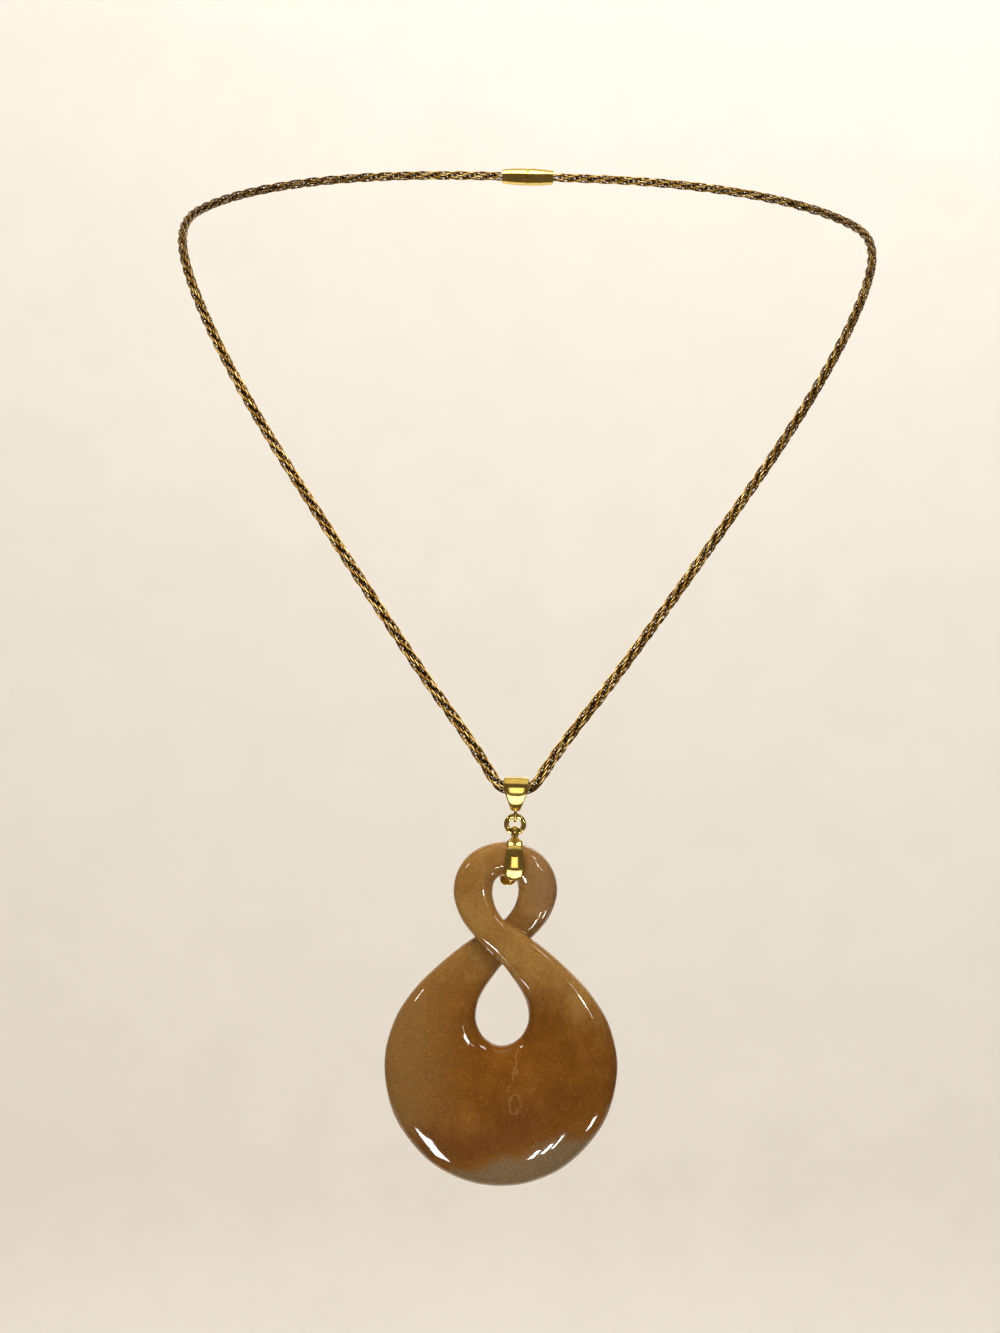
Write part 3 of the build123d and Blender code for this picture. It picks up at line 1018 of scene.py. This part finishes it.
def arm(name, hand):
    """An arm from a shoulder on one hand, across the middle, up the curl's other side."""
    across, deep = rounded(np.linspace(0, 2 * pi, 24, endpoint=False), ARM_SQUARENESS)
    rings = []
    for t in np.linspace(0, 1, 30):
        side = hand * np.interp(t, ARM_SIDE_STATIONS, ARM_SIDE)
        out = np.interp(t, ARM_STATIONS, ARM_OUT)
        radius = np.interp(t, ARM_STATIONS, ARM_RADIUS)
        rings.append(np.stack([
            side + radius * across,
            PENDANT_Y - out + ARM_FLATTENED * radius * deep,
            ARM_FOOT + ARM_LENGTH * t + ARM_SLANT * hand * radius * across,
        ], axis=1))
    return skin(name, rings)


print("arm ready")

# %% [markdown]
# The curl has the wire and the radius of the bail's eye, and is wider. The five shells are melted
# into one casting, at a finer voxel than the bail's, because the gaps of the X are small.

# %% Make the pinch bail
CURL_WIDTH = 1.1
PINCH_VOXEL = 0.055
pinch_bail = join("pinch_bail_polished", [
    leaf("front_leaf", -1),
    leaf("back_leaf", 1),
    arm("left_arm", -1),
    arm("right_arm", 1),
    loop("curl", (0.0, PENDANT_Y, CURL_Z), EYE_RADIUS, EYE_WIRE, CURL_WIDTH, "X"),
])
melt(pinch_bail, PINCH_VOXEL, METAL_ROUNDS)
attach(pinch_bail, "drop")
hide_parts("pinch_bail")

# %% [markdown]
# The clasp keeps the model's own mesh, because its plain barrel is right as it is. It gets the same
# gold as the three pieces above.

# %% Give the metal its gold
for metal in (taper_bail, jump_ring, pinch_bail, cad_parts["clasp"]):
    metal.data.materials.clear()
    metal.data.materials.append(gold_polished)
    print("gilded", metal.name)

# %% [markdown]
# ## The studio
# A pale paper sweep stands behind the necklace: a floor, a cove and a wall in one sheet, because
# two planes would show a line where they meet. Its profile is swept across as one strip of faces.

# %% Make the sweep
FLOOR_Z = -950.0
FLOOR_START = 60.0
SWEEP_HALF = 1600.0
WALL_Y = 1300.0
WALL_HEIGHT = 3000.0
COVE = 500.0
profile = [(FLOOR_START, FLOOR_Z), (WALL_Y - COVE, FLOOR_Z)]
profile += [
    (WALL_Y - COVE + COVE * sin(a), FLOOR_Z + COVE - COVE * cos(a))
    for a in np.linspace(0, pi / 2, 24)[1:]
]
profile.append((WALL_Y, FLOOR_Z + WALL_HEIGHT))
verts = [(x * MM, y * MM, z * MM) for y, z in profile for x in (-SWEEP_HALF, SWEEP_HALF)]
faces = [(2 * i, 2 * i + 1, 2 * i + 3, 2 * i + 2) for i in range(len(profile) - 1)]
sweep_mesh = bpy.data.meshes.new("studio_sweep")
sweep_mesh.from_pydata(verts, [], faces)
for face in sweep_mesh.polygons:
    face.use_smooth = True
sweep = bpy.data.objects.new("studio_sweep", sweep_mesh)
bpy.context.scene.collection.objects.link(sweep)
print("sweep of", len(faces), "faces")

# %% [markdown]
# The paper is matt and scatters light evenly, with a faint drift in its tone every few centimetres.

# %% Make the paper
PAPER_DRIFT = 40.0
paper, tree, shader, place = new_material("matt_paper")
drift = add_node(
    tree, "ShaderNodeTexNoise", {"Scale": 1 / (PAPER_DRIFT * MM), "Detail": 3.0}, {"Vector": place}
)
tone = add_node(
    tree, "ShaderNodeValToRGB", {"stops": [(0.3, "#E2DED7"), (0.7, "#E5E1DA")]},
    {"Fac": drift.outputs["Fac"]},
)
tree.links.new(tone.outputs["Color"], shader.inputs["Base Color"])
shader.inputs["Roughness"].default_value = 0.9
print("made", paper.name)

# %% [markdown]
# Away from the middle of the wall the paper fades to the plain tone of the room, so that no edge of
# it shows from another side. Only the camera sees that tone: the necklace is lit by the whole
# sheet.

# %% Fade the paper for the camera
PLAIN_PALE = "#E6E1D8"
PALE_STRENGTH = 0.9
axes = add_node(tree, "ShaderNodeSeparateXYZ", links={0: place}).outputs
aside = add_node(tree, "ShaderNodeMath", {"operation": "ABSOLUTE"}, {0: axes["X"]}).outputs[0]
# a coordinate, and where in metres it is all plain tone and all paper
fades = [(axes["Z"], -0.90, -0.58), (axes["Z"], 1.20, 0.45), (aside, 1.10, 0.45)]
kept = None
for value, plain_at, full_at in fades:
    share = add_node(
        tree, "ShaderNodeMapRange", {**SOFT, "From Min": plain_at, "From Max": full_at},
        {"Value": value},
    )
    if kept is not None:
        share = add_node(
            tree, "ShaderNodeMath", {"operation": "MULTIPLY"},
            {0: kept.outputs[0], 1: share.outputs[0]},
        )
    kept = share
faded = add_node(tree, "ShaderNodeMath", {"operation": "SUBTRACT", 0: 1.0}, {1: kept.outputs[0]})
seen = add_node(tree, "ShaderNodeLightPath").outputs["Is Camera Ray"]
faded_and_seen = add_node(
    tree, "ShaderNodeMath", {"operation": "MULTIPLY"}, {0: faded.outputs[0], 1: seen}
)
flat = add_node(
    tree, "ShaderNodeEmission", {"Color": linear(PLAIN_PALE), "Strength": PALE_STRENGTH}
)
either = add_node(
    tree, "ShaderNodeMixShader",
    links={0: faded_and_seen.outputs[0], 1: shader.outputs[0], 2: flat.outputs[0]},
)
tree.links.new(either.outputs[0], tree.nodes["Material Output"].inputs["Surface"])
sweep_mesh.materials.append(paper)
print("fades", len(fades))


# %% [markdown]
# ## The lamps
# Polished metal shows the room and not itself, and each finish asks for its own room. Light linking
# lets a lamp light one group of pieces alone: soft panels overhead for the stone and the chain, one
# for the wall, a tall window in front and a low panel that the bails mirror as two bright bands
# with a dark one between them, and small bright windows that put crisp glints on the rims of the
# stone.

# %% Define a group of pieces and a lamp for it
def light_group(name, things):
    """A collection of the pieces that a lamp may light. It isn't part of the scene itself."""
    group = bpy.data.collections.new(name)
    for thing in things:
        group.objects.link(thing)
    return group


def soft_panel(name, group, place_mm, target_mm, width, height, power, colour, mirrored=True):
    """A rectangular area light at a place, facing a target, for a group of pieces."""
    data = bpy.data.lights.new(name, "AREA")
    data.shape = "RECTANGLE"
    data.size = width * MM
    data.size_y = height * MM
    data.energy = power
    data.color = linear(colour)[:3]
    panel = bpy.data.objects.new(name, data)
    facing = Vector(target_mm) - Vector(place_mm)
    panel.location = Vector(place_mm) * MM
    panel.rotation_euler = facing.to_track_quat("-Z", "Y").to_euler()
    panel.visible_camera = False
    panel.visible_glossy = mirrored
    panel.light_linking.receiver_collection = group
    bpy.context.scene.collection.objects.link(panel)


front_group = light_group("lit_from_the_front", [taper_bail, pinch_bail, rope_links])
table_group = light_group("lit_from_the_table", [taper_bail, pinch_bail, jump_ring, rope_links])
wall_group = light_group("lit_wall", [sweep])
window_group = light_group("lit_by_windows", [stone, jump_ring])
chain_group = light_group("lit_chain", [rope_links, sweep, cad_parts["clasp"]])
stone_group = light_group("lit_stone", [stone])
print("groups", len(bpy.data.collections))

# %% [markdown]
# The stone's own soft panel isn't mirrored in it, because its polish would show the whole
# rectangle. Three narrow panes side by side make the three small glints low on the lobe.

# %% Hang the lamps
PENDANT = (0.0, PENDANT_Y, -140.0)
BAILS = (0.0, PENDANT_Y, -118.0)
WALL = (0.0, 900.0, -300.0)
HIGH = (-300.0, -700.0, 1300.0)
WHITE = "#FFFFFF"
SUNNY = "#FFFDF6"
WARM = "#FFF8EC"
PANE_MIDDLE_X = 140.0
PANE_MIDDLE_Z = -520.0
PANE_SLOPE = 0.35
soft_panel("stone_panel", stone_group, HIGH, PENDANT, 1500.0, 1100.0, 30.0, WARM, mirrored=False)
# name, group, place, target, width, height, watts, colour
lamps = [
    ("chain_panel", chain_group, HIGH, PENDANT, 1500.0, 1100.0, 25.0, WARM),
    ("wall_panel", wall_group, (300.0, 300.0, 1500.0), WALL, 1600.0, 900.0, 42.0, WHITE),
    ("front_window", front_group, (20.0, -900.0, -75.0), BAILS, 215.0, 560.0, 0.66, "#FFF6D8"),
    ("table_panel", table_group, (40.0, -622.0, -605.0), BAILS, 620.0, 370.0, 2.1, WHITE),
    ("low_left_window", window_group, (-390.0, -660.0, -760.0), PENDANT, 180.0, 250.0, 3.6, WHITE),
]
for number, x in enumerate((112.0, 150.0, 188.0)):
    pane_place = (x, -700.0, PANE_MIDDLE_Z + PANE_SLOPE * (x - PANE_MIDDLE_X))
    lamps.append((
        f"low_middle_pane_{number}", window_group, pane_place, PENDANT, 12.0, 66.0, 0.16, WHITE
    ))
lamps += [
    ("low_right_window", window_group, (575.0, -600.0, -665.0), PENDANT, 100.0, 80.0, 0.8, WHITE),
    ("right_window", window_group, (400.0, -690.0, 10.0), PENDANT, 50.0, 60.0, 0.40, SUNNY),
    ("right_blind", window_group, (430.0, -680.0, 30.0), PENDANT, 16.0, 230.0, 0.16, SUNNY),
    ("upper_right_window", window_group, (520.0, -560.0, 420.0), PENDANT, 90.0, 120.0, 0.45, SUNNY),
    ("left_window", window_group, (-700.0, -560.0, 420.0), PENDANT, 70.0, 90.0, 0.5, SUNNY),
]
for lamp in lamps:
    soft_panel(*lamp)
print("lamps", len(bpy.data.lights))

# %% [markdown]
# ## The room
# The metal and the stone mirror a room that is dim all round and pale overhead. The camera sees the
# same plain pale tone that the sweep fades to, in place of that dim room.

# %% Make the room
CEILING_STARTS = 0.80
CEILING_FULL = 0.93
world = bpy.data.worlds.new("studio_room")
bpy.context.scene.world = world
world.use_nodes = True
tree = world.node_tree
room = tree.nodes["Background"]
outward = add_node(tree, "ShaderNodeTexCoord").outputs["Generated"]
rise = add_node(tree, "ShaderNodeSeparateXYZ", links={0: outward}).outputs["Z"]
overhead = add_node(
    tree, "ShaderNodeMapRange", {**SOFT, "From Min": CEILING_STARTS, "From Max": CEILING_FULL},
    {"Value": rise},
)
tone = add_node(
    tree, "ShaderNodeValToRGB", {"stops": [(0.0, "#5C5142"), (1.0, "#D8C8A8")]},
    {"Fac": overhead.outputs[0]},
)
tree.links.new(tone.outputs["Color"], room.inputs["Color"])
room.inputs["Strength"].default_value = 1.3
pale = add_node(
    tree, "ShaderNodeBackground", {"Color": linear(PLAIN_PALE), "Strength": PALE_STRENGTH}
)
seen = add_node(tree, "ShaderNodeLightPath").outputs["Is Camera Ray"]
both = add_node(
    tree, "ShaderNodeMixShader", links={0: seen, 1: room.outputs[0], 2: pale.outputs[0]}
)
tree.links.new(both.outputs[0], tree.nodes["World Output"].inputs[0])
bpy.context.scene.view_settings.view_transform = "Standard"
print("made", world.name)
